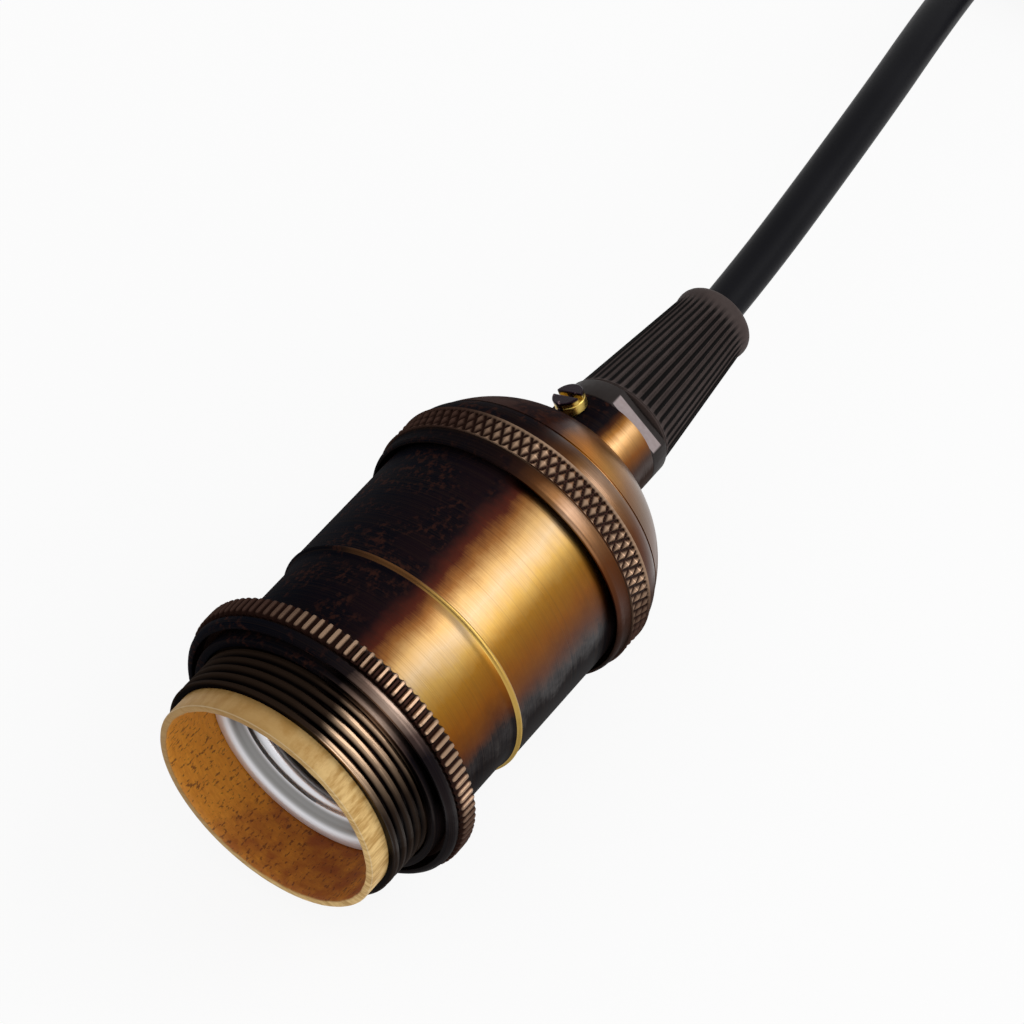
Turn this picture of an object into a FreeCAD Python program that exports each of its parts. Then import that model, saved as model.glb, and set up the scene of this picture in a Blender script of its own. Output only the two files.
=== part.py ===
import FreeCAD, Part
import math
import os
from FreeCAD import Rotation, Vector

# A brass lamp holder lying on its side. The lamp axis is +Y: the mouth is at y = 0 and the cord
# leaves at the far end. +Z is up. Every size is in millimetres.

# Mouth: fibre liner inside a threaded brass end.
LINER_OUT = 3.3        # the liner stands out of the brass by this much
LINER_WALL = 1.1
LINER_GAP = 0.1        # liner to the bore of the threaded end
LINER_TOP_GAP = 6.0    # liner ends this far below the top of the shell
THREAD_R = 18.0        # crest of the shade-ring thread
THREAD_WALL = 0.9
THREAD_LENGTH = 11.6
THREAD_LEAD = 1.25     # advance in one turn, also of the thread between shell and cap

# Shell: drawn tube with a bead below its wider half.
SHELL_STAND = 0.63     # the lower half of the shell stands out past the thread
SHELL_WALL = 0.8
SHELL_STEP = 0.57      # the upper half is wider than the lower half by this much
LOWER_LENGTH = 12.4
BEAD_LENGTH = 1.9
BEAD_RISE = 0.15
UPPER_LENGTH = 20.1    # from the bead to the lip of the cap
CAP_LAP = 5.7          # length of shell inside the cap
EDGE = 0.25            # broken edge

# Shade ring: collar, recess, lip and knurled rim turned in one piece.
RING_GAP = 0.15
RING_LENGTH = 5.5
RING_WALL = 3.85       # from the ring's bore to its rim
RING_OVERHANG = 0.6    # the ring's counterbore reaches over the shoulder of the shell
COLLAR_SHARE = 0.3     # share of the ring's wall that the collar takes
RECESS_SHARE = 0.26    # share that the recess takes
RECESS_DEPTH = 2.2
LIP_DROP = 0.8         # the outer lip starts this far above the collar's end
LIP_SHARE = 0.13       # the lip is smaller than the rim by this share
RIM_LENGTH = 3.0

# Cap: spun dome with a diamond-knurled band and a turned neck.
CAP_GAP = 0.3
BAND_WALL = 1.37
BAND_LENGTH = 4.3
CAP_SKIRT = 2.5        # from the lip of the cap to the band
CAP_WALL = 0.8
SKIRT_GAP = 0.65       # the lip stands off the shell
SKIRT_EDGE = 0.35
SHOULDER_LENGTH = 2.4
SHOULDER_DROP = 1.35
DOME_LENGTH = 10.3
DOME_RISE = 1.6
NECK_R = 8.2
NECK_LENGTH = 6.2
NECK_ROOT = 2.0        # thickness of the cap under the neck

# Set screw in the neck.
SET_SCREW_R = 1.5
SET_HEAD_R = 1.8
SET_HEAD_HEIGHT = 1.7
SET_SCREW_TURN = 22.4  # degrees from +Z towards -X
SLOT_WIDTH = 0.6
SLOT_DEPTH = 0.7
RUNNING_GAP = 0.05

# Cord grip: body with wrench flats and hollow stem, ribbed nut, collet and lock nut.
STEM_R = 5.0
STEM_BORE_R = 3.3
COLLAR_LENGTH = 3.1
FLATS_ACROSS = 13.7
FLATS_TURN = 40.0      # degrees from +Z towards +X
SPIGOT_R = 5.6
SPIGOT_LENGTH = 10.0
GRIP_GAP = 0.3
NUT_R = 8.0
NUT_TOP_R = 5.9
NUT_FLANGE = 1.0
NUT_CONE = 20.7
NUT_DOME = 4.6
NUT_MOUTH_R = 3.75
NUT_RIBS = 36
RIB_DEPTH = 0.35
COLLET_LENGTH = 9.0
COLLET_WALL = 1.5
COLLET_SLOTS = 4
COLLET_SLOT_WIDTH = 0.8
LOCK_NUT_FLATS = 13.0
LOCK_NUT_HEIGHT = 3.0
STEM_OVERRUN = 1.0     # stem shows past the lock nut

# Screw shell for the lamp, pressed from sheet.
SCREW_INSET = 9.2      # its lip lies this far inside the mouth
SCREW_SHEET = 0.4
LIP_WIDTH = 2.1        # the lip is wider than the thread's outer turns by this much
LAMP_DEPTH = 1.2       # depth of the thread
LAMP_PITCH = 3.63
LAMP_TURNS = 4
LIP_FLARE = 1.6        # length of the flared lip
LINER_CLEARANCE = 0.3  # what stands inside the liner clears it by this much
SCREW_BASE_WIDTH = 5.3  # flat ring of its base, round the hole

# Insulator and what it carries.
INSULATOR_LENGTH = 13.6
RIVET_R = 1.2
RIVET_HEAD_R = 2.0
RIVET_HEAD = 0.8
RIVET_INSET = 6.1      # rivets, in from the side of the insulator
RIVET_TURN = 130.0
STRIP = 0.5
CONTACT_WIDTH = 5.0
CONTACT_GAP = 0.65      # leaf to the terminal beside it
CONTACT_STAND = 3.2    # front of the contact above the base of the screw shell
CONTACT_TRAVEL = 1.2
TERMINAL_INSET = 7.1   # middle of a terminal, in from the side of the insulator
TERMINAL_SIZE = 6.0
TERMINAL_HEIGHT = 5.0
WIRE_INSET = 8.6       # wire hole, in from the side of the insulator
SCREW_R = 1.25
SCREW_HEAD_R = 2.2
SCREW_HEAD = 1.5
STRAP_SHEET = 1.2
STRAP_WIDTH = 8.0
STRAP_SPREAD = 11.5
STRAP_FOOT = 4.5
STRAP_PLATE = 7.0      # half length of the strap's flat under the neck
STRAP_SLOPE = 5.6
EARTH_DROP = 12.0      # earth screw below the strap's flat
CORE_R = 1.1
CORE_RING = 1.35       # the three cores lie on this radius in the sheath

# Cord: free stretch to the floor, then a coil.
CORD_R = 3.0
FLOOR_Z = -22.0        # the rim of the ring rests on it
SHEATH_START = 78.5
CORD_ROUTE = [
    (0, 103, 0), (-4.3, 148, 0), (-9.5, 178, -4), (-15.5, 204, -14.5), (-21.5, 224, -19), (-21.5, 240, -19),
]
HANK_Y = 253.0         # middle of the hank
FOLD_R = 22.4          # middle of the hank's folds
HANK_RUN = 48.0        # straight part of the hank's runs
TURN_SPACING = 6.3     # between turns that lie side by side
LAYER_RISE = 6.2       # between layers
TIE_WIDTH = 4.0
TIE_SHEET = 0.8
TAIL_START = 6.0       # end of the sheath, from the middle of the hank
TAIL_LENGTH = 14.0
COPPER_R = 0.5
COPPER_LENGTH = 5.0

# Places along the axis that follow from the sizes above.
BRASS_Y = LINER_OUT
SHOULDER_Y = BRASS_Y + THREAD_LENGTH
BEAD_Y = SHOULDER_Y + LOWER_LENGTH
BEAD_END_Y = BEAD_Y + BEAD_LENGTH
CAP_Y = BEAD_END_Y + UPPER_LENGTH
SHELL_TOP_Y = CAP_Y + CAP_LAP
BAND_Y = CAP_Y + CAP_SKIRT
BAND_END_Y = BAND_Y + BAND_LENGTH
GROOVE_Y = BAND_END_Y + SHOULDER_LENGTH
NECK_Y = GROOVE_Y + DOME_LENGTH
NECK_END_Y = NECK_Y + NECK_LENGTH
COLLAR_END_Y = NECK_END_Y + COLLAR_LENGTH
NUT_Y = COLLAR_END_Y + GRIP_GAP
RIBS_Y = NUT_Y + NUT_FLANGE
NUT_TOP_Y = RIBS_Y + NUT_CONE
NUT_END_Y = NUT_TOP_Y + NUT_DOME
BORE_R = THREAD_R - THREAD_WALL
SHELL_R = THREAD_R + SHELL_STAND
UPPER_R = SHELL_R + SHELL_STEP
RING_R = THREAD_R + RING_GAP + RING_WALL
LINER_R = BORE_R - LINER_GAP
LINER_BORE_R = LINER_R - LINER_WALL
INNER_R = LINER_BORE_R - LINER_CLEARANCE
LAMP_CREST_R = INNER_R - LIP_WIDTH
LAMP_ROOT_R = LAMP_CREST_R - LAMP_DEPTH
SCREW_HOLE_R = LAMP_ROOT_R - SCREW_BASE_WIDTH
TERMINAL_X = INNER_R - TERMINAL_INSET
WIRE_HOLE_X = INNER_R - WIRE_INSET
RIVET_REACH = INNER_R - RIVET_INSET
CONTACT_REACH = TERMINAL_X - TERMINAL_SIZE / 2 - CONTACT_GAP - STRIP / 2
CAP_INNER_R = UPPER_R + CAP_GAP
BAND_R = CAP_INNER_R + BAND_WALL
SCREW_BASE_Y = SCREW_INSET + LIP_FLARE + LAMP_PITCH * (LAMP_TURNS + 0.5)
INSULATOR_Y = SCREW_BASE_Y + SCREW_SHEET
INSULATOR_END_Y = INSULATOR_Y + INSULATOR_LENGTH
STRAP_Y = NECK_Y - NECK_ROOT           # the strap's flat bears on the cap here
LOCK_NUT_Y = STRAP_Y - STRAP_SHEET
STEM_END_Y = LOCK_NUT_Y - LOCK_NUT_HEIGHT - STEM_OVERRUN
TERMINAL_END_Y = INSULATOR_END_Y + TERMINAL_HEIGHT
AXIS = Vector(0, 1, 0)


def turned(outline):
    """Revolve (radius, y) points about the lamp axis; a pair (middle, end) is an arc."""
    edges, here = [], outline[0]
    for step in outline[1:] + outline[:1]:
        if isinstance(step[0], tuple):
            middle, end = step
            edges.append(Part.Arc(flat(here), flat(middle), flat(end)).toShape())
        else:
            end = step
            edges.append(Part.LineSegment(flat(here), flat(end)).toShape())
        here = end
    return Part.Face(Part.Wire(edges)).revolve(Vector(), AXIS, 360)


def flat(point):
    return Vector(point[0], point[1], 0)


def bow(start, end, rise):
    """Arc from start to end that stands off its chord by rise, outwards on the way up +Y."""
    run, climb = end[0] - start[0], end[1] - start[1]
    length = math.hypot(run, climb)
    middle = ((start[0] + end[0]) / 2 + rise * climb / length,
              (start[1] + end[1]) / 2 - rise * run / length)
    return (middle, end)


def tube(inner, outer, start, end):
    return turned([(inner, start), (outer, start), (outer, end), (inner, end)])


def rod(radius, base, direction, length):
    return Part.makeCylinder(radius, length, base, direction)


def along_axis(radius, x, z, start, end):
    return rod(radius, Vector(x, start, z), AXIS, end - start)


def block(size, centre):
    box = Part.makeBox(*size)
    return box.translated(Vector(*centre) - Vector(*size) * 0.5)


def prism(flats, height, start):
    """Hexagonal prism about the lamp axis, flats across as given."""
    corner = flats / math.sqrt(3)
    ring = [Vector(corner * math.cos(math.radians(60 * k)), start,
                   corner * math.sin(math.radians(60 * k))) for k in range(7)]
    return Part.Face(Part.makePolygon(ring)).extrude(AXIS * height)


def bent_strip(path, thickness, width, across):
    """Sheet strip along a path of corners, its thickness centred on the path."""
    side = []
    for k, corner in enumerate(path):
        before = (corner - path[k - 1]).normalize() if k else None
        after = (path[k + 1] - corner).normalize() if k + 1 < len(path) else None
        normals = [across.cross(way) for way in (before, after) if way]
        mitre = sum(normals, Vector()).normalize()
        side.append(mitre * (thickness / 2 / mitre.dot(normals[0])))
    front = [p + s for p, s in zip(path, side)]
    back = [p - s for p, s in zip(path, side)]
    outline = front + back[::-1] + front[:1]
    face = Part.Face(Part.makePolygon(outline))
    return face.translated(across * (-width / 2)).extrude(across * width)


def slotted(base, direction, shank_r, shank, head_r, head):
    """Slotted screw: base is under its head, direction points from shank to head."""
    solid = rod(head_r, base, direction, head)
    solid = solid.fuse(rod(shank_r, base - direction * shank, direction, shank))
    slot = Part.makeBox(2.2 * head_r, SLOT_WIDTH, SLOT_DEPTH)
    slot.translate(Vector(-1.1 * head_r, -SLOT_WIDTH / 2, head - SLOT_DEPTH))
    slot.Placement = FreeCAD.Placement(base, Rotation(Vector(0, 0, 1), direction)) * slot.Placement
    return solid.cut(slot)


def smooth_path(points, arc_share=0.45):
    """Straight runs joined by tangent arcs, and the radius of each arc."""
    edges, radii, here = [], [], points[0]
    for before, corner, after in zip(points, points[1:], points[2:]):
        into, out = corner - before, after - corner
        half_turn = into.getAngle(out) / 2
        reach = arc_share * min(into.Length, out.Length)
        radius = reach / math.tan(half_turn)
        into.normalize()
        out.normalize()
        start, end = corner - into * reach, corner + out * reach
        inward = (out - into).normalize()
        middle = corner + inward * (radius / math.cos(half_turn) - radius)
        edges.append(Part.LineSegment(here, start).toShape())
        edges.append(Part.Arc(start, middle, end).toShape())
        radii.append(radius)
        here = end
    edges.append(Part.LineSegment(here, points[-1]).toShape())
    return Part.Wire(edges), radii


def swept_tube(points, radius):
    """Round tube along a smoothed route, its volume compared with section times length."""
    path, radii = smooth_path(points)
    section = Part.Wire(Part.makeCircle(radius, points[0], points[1] - points[0]))
    solid = path.makePipeShell([section], True, False)
    ratio = solid.Volume / (math.pi * radius ** 2 * path.Length)
    return solid, radii, path.Length, ratio


# Outer pieces

def liner():
    return tube(LINER_BORE_R, LINER_R, 0, SHELL_TOP_Y - LINER_TOP_GAP)


def shell():
    bead_top = (UPPER_R + BEAD_RISE, BEAD_END_Y - EDGE)
    return turned([
        (BORE_R, BRASS_Y), (THREAD_R - EDGE, BRASS_Y), (THREAD_R, BRASS_Y + EDGE),
        (THREAD_R, SHOULDER_Y), (SHELL_R - EDGE, SHOULDER_Y), (SHELL_R, SHOULDER_Y + EDGE),
        (SHELL_R, BEAD_Y), bow((SHELL_R, BEAD_Y), bead_top, -BEAD_RISE / 2),
        (UPPER_R, BEAD_END_Y), (UPPER_R, SHELL_TOP_Y), (UPPER_R - SHELL_WALL, SHELL_TOP_Y),
        (UPPER_R - SHELL_WALL, BEAD_END_Y), (SHELL_R - SHELL_WALL, BEAD_Y),
        (SHELL_R - SHELL_WALL, SHOULDER_Y + SHELL_WALL), (BORE_R, SHOULDER_Y + SHELL_WALL),
    ])


def shade_ring():
    top = SHOULDER_Y + RING_OVERHANG
    bottom = top - RING_LENGTH
    bore = THREAD_R + RING_GAP
    over_shoulder = SHELL_R + RING_GAP
    collar = bore + COLLAR_SHARE * RING_WALL
    lip_inner = collar + RECESS_SHARE * RING_WALL
    lip_outer = RING_R - LIP_SHARE * RING_WALL
    rim = top - RIM_LENGTH
    floor = bottom + RECESS_DEPTH + LIP_DROP
    lip_start = (lip_inner + EDGE, bottom + LIP_DROP)
    return turned([
        (bore, bottom), (collar - EDGE, bottom), (collar, bottom + EDGE), (collar, floor),
        (lip_inner, floor), (lip_inner, bottom + LIP_DROP + EDGE), lip_start,
        bow(lip_start, (lip_outer, rim - 2 * EDGE), 2 * EDGE), (lip_outer, rim - EDGE),
        (lip_outer - EDGE, rim), (RING_R - EDGE, rim), (RING_R, rim + EDGE),
        (RING_R, top - EDGE), (RING_R - EDGE, top), (over_shoulder, top),
        (over_shoulder, SHOULDER_Y - RING_GAP), (bore, SHOULDER_Y - RING_GAP),
    ])


def cap():
    skirt = UPPER_R + SKIRT_GAP
    shoulder = (BAND_R - EDGE, BAND_END_Y)
    groove = (BAND_R - SHOULDER_DROP, GROOVE_Y)
    dome = (groove[0] - EDGE / 2, GROOVE_Y + EDGE)
    neck = (NECK_R, NECK_Y)
    inner_groove = (groove[0] - CAP_WALL, GROOVE_Y - EDGE)
    inner_neck = (NECK_R + CAP_WALL, STRAP_Y)
    inner_middle = bow(inner_groove, inner_neck, DOME_RISE)[0]
    solid = turned([
        (skirt, CAP_Y), (skirt + SKIRT_EDGE, CAP_Y), (skirt + SKIRT_EDGE + EDGE, BAND_Y - EDGE),
        (BAND_R - EDGE, BAND_Y), (BAND_R, BAND_Y + EDGE), (BAND_R, BAND_END_Y - EDGE), shoulder,
        bow(shoulder, groove, EDGE), (groove[0] - EDGE, GROOVE_Y + EDGE / 2), dome,
        bow(dome, neck, DOME_RISE), (NECK_R, NECK_END_Y), (STEM_R + RUNNING_GAP, NECK_END_Y),
        (STEM_R + RUNNING_GAP, STRAP_Y), inner_neck, inner_middle, inner_groove,
        (CAP_INNER_R, SHELL_TOP_Y + CAP_GAP), (CAP_INNER_R, CAP_Y + CAP_SKIRT / 2),
    ])
    return solid.cut(rod(SET_SCREW_R + RUNNING_GAP, set_screw_base(), set_screw_way(), NECK_R))


def set_screw_way():
    turn = math.radians(SET_SCREW_TURN)
    return Vector(-math.sin(turn), 0, math.cos(turn))


def set_screw_base():
    return Vector(0, (NECK_Y + NECK_END_Y) / 2, 0) + set_screw_way() * STEM_R


def set_screw():
    seat = set_screw_base() + set_screw_way() * (NECK_R - STEM_R + RUNNING_GAP)
    return slotted(seat, set_screw_way(), SET_SCREW_R, NECK_R - STEM_R - 2 * RUNNING_GAP,
                   SET_HEAD_R, SET_HEAD_HEIGHT)


# Cord grip

def grip_body():
    solid = tube(STEM_BORE_R, NECK_R, NECK_END_Y, COLLAR_END_Y)
    for side in (-1, 1):
        flat_cut = block((3 * NECK_R, COLLAR_LENGTH, NECK_R),
                         (0, (NECK_END_Y + COLLAR_END_Y) / 2, side * (FLATS_ACROSS + NECK_R) / 2))
        flat_cut.rotate(Vector(), AXIS, FLATS_TURN)
        solid = solid.cut(flat_cut)
    stem = tube(STEM_BORE_R, STEM_R, STEM_END_Y, NECK_END_Y)
    spigot = tube(STEM_BORE_R, SPIGOT_R, COLLAR_END_Y, COLLAR_END_Y + SPIGOT_LENGTH)
    return solid.fuse([stem, spigot]).removeSplitter()


def rib_ring(radius, height):
    """Closed zigzag about the lamp axis, one tooth for each rib of the nut."""
    points = []
    for k in range(2 * NUT_RIBS):
        reach = radius - (RIB_DEPTH if k % 2 else 0)
        angle = math.pi * k / NUT_RIBS
        points.append(Vector(reach * math.cos(angle), height, reach * math.sin(angle)))
    return Part.makePolygon(points + points[:1])


def grip_nut():
    bore = SPIGOT_R + GRIP_GAP
    cone_start = COLLAR_END_Y + SPIGOT_LENGTH + GRIP_GAP
    ribs = Part.makeLoft([rib_ring(NUT_R, RIBS_Y), rib_ring(NUT_TOP_R, NUT_TOP_Y)], True, True)
    flange = tube(0, NUT_R, NUT_Y, RIBS_Y)
    rounding = (NUT_TOP_R - RIB_DEPTH, NUT_TOP_Y)
    mouth = (NUT_MOUTH_R + EDGE, NUT_END_Y)
    dome = turned([(0, NUT_TOP_Y), rounding, bow(rounding, mouth, 2 * EDGE), (0, NUT_END_Y)])
    inside = turned([
        (0, NUT_Y), (bore, NUT_Y), (bore, cone_start),
        (NUT_MOUTH_R + EDGE, cone_start + COLLET_LENGTH), (NUT_MOUTH_R, NUT_END_Y), (0, NUT_END_Y),
    ])
    return ribs.fuse([flange, dome]).cut(inside)


def grip_collet():
    start = COLLAR_END_Y + SPIGOT_LENGTH
    end = start + COLLET_LENGTH
    inner = CORD_R + 2 * RUNNING_GAP
    solid = turned([(inner, start), (inner + COLLET_WALL, start), (inner + COLLET_WALL, start + EDGE),
                    (inner + EDGE, end), (inner, end)])
    for k in range(COLLET_SLOTS):
        slot = block((NECK_R, COLLET_LENGTH, COLLET_SLOT_WIDTH), (NECK_R / 2, end - EDGE, 0))
        slot.rotate(Vector(), AXIS, 360 * k / COLLET_SLOTS)
        solid = solid.cut(slot)
    return solid


def lock_nut():
    nut = prism(LOCK_NUT_FLATS, LOCK_NUT_HEIGHT, LOCK_NUT_Y - LOCK_NUT_HEIGHT)
    return nut.cut(along_axis(STEM_R, 0, 0, STEM_END_Y, LOCK_NUT_Y))


# Interior

def screw_shell():
    lip = (INNER_R, SCREW_INSET)
    wall = [lip, (LAMP_CREST_R + SCREW_SHEET + EDGE, SCREW_INSET + LIP_FLARE)]
    for turn in range(LAMP_TURNS):
        start = SCREW_INSET + LIP_FLARE + LAMP_PITCH * turn
        wall += [(LAMP_ROOT_R, start + 0.25 * LAMP_PITCH), (LAMP_CREST_R, start + 0.75 * LAMP_PITCH)]
    wall += [(LAMP_ROOT_R, SCREW_BASE_Y - LAMP_PITCH / 4), (LAMP_ROOT_R, SCREW_BASE_Y),
             (SCREW_HOLE_R, SCREW_BASE_Y)]
    outside = [(r + SCREW_SHEET, y) for r, y in wall[1:-2]]
    solid = turned(wall + [(SCREW_HOLE_R, INSULATOR_Y), (LAMP_ROOT_R + SCREW_SHEET, INSULATOR_Y)]
                   + outside[::-1] + [(INNER_R, SCREW_INSET + SCREW_SHEET)])
    for x, z in rivet_places().values():
        solid = solid.cut(along_axis(RIVET_R, x, z, SCREW_BASE_Y, INSULATOR_Y))
    return solid


def rivet_places():
    turn = math.radians(RIVET_TURN)
    return {"side_rivet": (RIVET_REACH, 0),
            "shell_rivet": (RIVET_REACH * math.cos(turn), RIVET_REACH * math.sin(turn))}


def rivet(place):
    x, z = place
    head = along_axis(RIVET_HEAD_R, x, z, SCREW_BASE_Y - RIVET_HEAD, SCREW_BASE_Y)
    return head.fuse(along_axis(RIVET_R, x, z, SCREW_BASE_Y, INSULATOR_END_Y)).removeSplitter()


def insulator():
    solid = turned([(0, INSULATOR_Y), (INNER_R - EDGE, INSULATOR_Y), (INNER_R, INSULATOR_Y + EDGE),
                    (INNER_R, INSULATOR_END_Y - EDGE), (INNER_R - EDGE, INSULATOR_END_Y),
                    (0, INSULATOR_END_Y)])
    for x, z in rivet_places().values():
        solid = solid.cut(along_axis(RIVET_R, x, z, INSULATOR_Y, INSULATOR_END_Y))
    for side in (-1, 1):
        solid = solid.cut(along_axis(SCREW_R, 0, side * strap_screw_z(), INSULATOR_END_Y - 2 * SCREW_HEAD_R,
                                     INSULATOR_END_Y))
    slot = block((STRIP + 2 * GRIP_GAP, INSULATOR_LENGTH, CONTACT_WIDTH + 2 * GRIP_GAP),
                 (-CONTACT_REACH, INSULATOR_Y + INSULATOR_LENGTH / 2, 0))
    return solid.cut(slot)


def centre_contact():
    front = SCREW_BASE_Y - CONTACT_STAND
    path = [Vector(-CONTACT_REACH, TERMINAL_END_Y - CONTACT_TRAVEL, 0),
            Vector(-CONTACT_REACH, front + 1.5, 0), Vector(-CONTACT_REACH / 2, front, 0),
            Vector(CONTACT_REACH / 2, front, 0), Vector(CONTACT_REACH * 0.8, front + 0.8, 0)]
    return bent_strip(path, STRIP, CONTACT_WIDTH, Vector(0, 0, 1))


def terminal(side):
    middle = INSULATOR_END_Y + TERMINAL_HEIGHT / 2
    body = block((TERMINAL_SIZE, TERMINAL_HEIGHT, TERMINAL_SIZE), (side * TERMINAL_X, middle, 0))
    body = body.cut(along_axis(CORE_R + RUNNING_GAP, side * WIRE_HOLE_X, 0, middle - TERMINAL_HEIGHT / 4,
                               TERMINAL_END_Y))
    outer = side * (TERMINAL_X + TERMINAL_SIZE / 2)
    return body.cut(rod(SCREW_R, Vector(outer, middle, 0), Vector(-side, 0, 0), terminal_screw_reach()))


def terminal_screw_reach():
    return TERMINAL_X + TERMINAL_SIZE / 2 - WIRE_HOLE_X - CORE_R - RUNNING_GAP


def terminal_screw(side):
    middle = INSULATOR_END_Y + TERMINAL_HEIGHT / 2
    seat = Vector(side * (TERMINAL_X + TERMINAL_SIZE / 2), middle, 0)
    return slotted(seat, Vector(side, 0, 0), SCREW_R, terminal_screw_reach(), SCREW_HEAD_R, SCREW_HEAD)


def strap_screw_z():
    return STRAP_SPREAD - STRAP_FOOT / 2 - STRAP_SHEET / 2


def strap():
    """Steel strap from the neck of the cap down to the insulator, feet turned inwards."""
    foot, flat_y = INSULATOR_END_Y + STRAP_SHEET / 2, STRAP_Y - STRAP_SHEET / 2
    half = [(STRAP_SPREAD - STRAP_FOOT, foot), (STRAP_SPREAD, foot),
            (STRAP_SPREAD, flat_y - STRAP_SLOPE), (STRAP_PLATE, flat_y)]
    path = [Vector(0, y, -z) for z, y in half] + [Vector(0, y, z) for z, y in half[::-1]]
    solid = bent_strip(path, STRAP_SHEET, STRAP_WIDTH, Vector(1, 0, 0))
    solid = solid.cut(along_axis(STEM_R, 0, 0, LOCK_NUT_Y - STRAP_SHEET, STRAP_Y))
    for side in (-1, 1):
        solid = solid.cut(along_axis(SCREW_R, 0, side * strap_screw_z(), INSULATOR_END_Y,
                                     INSULATOR_END_Y + STRAP_SHEET))
    return solid.cut(rod(SCREW_R, earth_seat(), Vector(0, 0, 1), STRAP_SHEET))


def strap_screw(side):
    seat = Vector(0, INSULATOR_END_Y + STRAP_SHEET, side * strap_screw_z())
    return slotted(seat, AXIS, SCREW_R, STRAP_SHEET + 2 * SCREW_HEAD_R, SCREW_HEAD_R, SCREW_HEAD)


def earth_seat():
    return Vector(0, STRAP_Y - EARTH_DROP, STRAP_SPREAD - STRAP_SHEET / 2)


def earth_screw():
    return slotted(earth_seat(), Vector(0, 0, -1), SCREW_R, STRAP_SHEET, SCREW_HEAD_R, SCREW_HEAD)


def core_routes():
    """Routes of the three cores from the end of the sheath to their terminals."""
    bend = STEM_END_Y - 2
    wire_end = TERMINAL_END_Y - TERMINAL_HEIGHT / 2
    routes = {}
    across, down = CORE_RING * math.cos(math.pi / 6), CORE_RING * math.sin(math.pi / 6)
    for name, side in (("live_core", -1), ("neutral_core", 1)):
        far = side * WIRE_HOLE_X
        routes[name] = [Vector(side * across, SHEATH_START, -down), Vector(side * across, bend, -down),
                        Vector(far, TERMINAL_END_Y + 4, 0), Vector(far, wire_end, 0)]
    earth_z = STRAP_SPREAD - STRAP_SHEET / 2 - SCREW_HEAD - CORE_R
    routes["earth_core"] = [Vector(0, SHEATH_START, CORE_RING), Vector(0, bend, CORE_RING),
                            Vector(0, STRAP_Y - EARTH_DROP, earth_z)]
    return routes


# Cord

def free_cord():
    points = [Vector(0, SHEATH_START, 0)] + [Vector(*p) for p in CORD_ROUTE]
    solid, radii, length, ratio = swept_tube(points, CORD_R)
    print("cord radii", [round(r) for r in radii], "length", round(length),
          "volume over section times length", round(ratio, 4))
    return solid


def hank_centre():
    """The route ends in the outer turn's run on the -X side."""
    return Vector(CORD_ROUTE[-1][0] + FOLD_R + TURN_SPACING / 2, HANK_Y, 0)


def long_ring(inner, outer, start, end):
    """Flat ring with straight sides and round ends, from one height to the other."""
    loops = []
    for radius in (outer, inner):
        sides = [Part.LineSegment(Vector(x, y, start), Vector(x, -y, start)).toShape()
                 for x, y in ((radius, HANK_RUN / 2), (-radius, -HANK_RUN / 2))]
        folds = [Part.Arc(Vector(-end_x, y, start), Vector(0, y + math.copysign(radius, y), start),
                          Vector(end_x, y, start)).toShape()
                 for end_x, y in ((radius, HANK_RUN / 2), (-radius, -HANK_RUN / 2))]
        loops.append(Part.Face(Part.Wire([folds[0], sides[0], folds[1], sides[1]])))
    return loops[0].cut(loops[1]).extrude(Vector(0, 0, end - start))


def cord_coil():
    """Outer shape of the hank: two layers of two turns side by side."""
    wide = TURN_SPACING / 2 + CORD_R
    high = 2 * CORD_R + LAYER_RISE
    return long_ring(FOLD_R - wide, FOLD_R + wide, FLOOR_Z, FLOOR_Z + high).translated(hank_centre())


def coil_tie():
    """Flat tie round both sides of the hank, across its middle."""
    wide, high = FOLD_R + TURN_SPACING / 2 + CORD_R + TIE_SHEET, 2 * CORD_R + LAYER_RISE + TIE_SHEET
    band = block((2 * wide, TIE_WIDTH, high), (0, 0, FLOOR_Z + high / 2))
    inside = block((2 * wide - 2 * TIE_SHEET, TIE_WIDTH, high - 2 * TIE_SHEET), (0, 0, FLOOR_Z + high / 2))
    return band.cut(inside).translated(hank_centre())


def cord_tail():
    """Stripped far end: three cores with bare copper tips, along the top turn's last run."""
    solids = []
    height = FLOOR_Z + CORD_R + LAYER_RISE
    run = FOLD_R + TURN_SPACING / 2
    for k in range(3):
        turn = 2 * math.pi * k / 3
        start = Vector(run + CORE_RING * math.cos(turn), TAIL_START, height + CORE_RING * math.sin(turn))
        way = Vector(0, -1, 0)
        core = rod(CORE_R, start, way, TAIL_LENGTH)
        solids.append(core.fuse(rod(COPPER_R, start + way * TAIL_LENGTH, way, COPPER_LENGTH)))
    return Part.makeCompound(solids).translated(hank_centre())


def pieces():
    parts = {
        "liner": liner(), "shell": shell(), "shade_ring": shade_ring(), "cap": cap(),
        "set_screw": set_screw(), "grip_body": grip_body(), "grip_nut": grip_nut(),
        "grip_collet": grip_collet(), "lock_nut": lock_nut(), "screw_shell": screw_shell(),
        "insulator": insulator(), "centre_contact": centre_contact(),
        "centre_terminal": terminal(-1), "side_terminal": terminal(1),
        "centre_terminal_screw": terminal_screw(-1), "side_terminal_screw": terminal_screw(1),
        "strap": strap(), "strap_screw_lower": strap_screw(-1), "strap_screw_upper": strap_screw(1),
        "earth_screw": earth_screw(), "cord": free_cord(), "cord_coil": cord_coil(),
        "coil_tie": coil_tie(), "cord_tail": cord_tail(),
    }
    parts.update({name: rivet(place) for name, place in rivet_places().items()})
    parts.update({name: swept_tube(route, CORE_R)[0] for name, route in core_routes().items()})
    return parts


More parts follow.
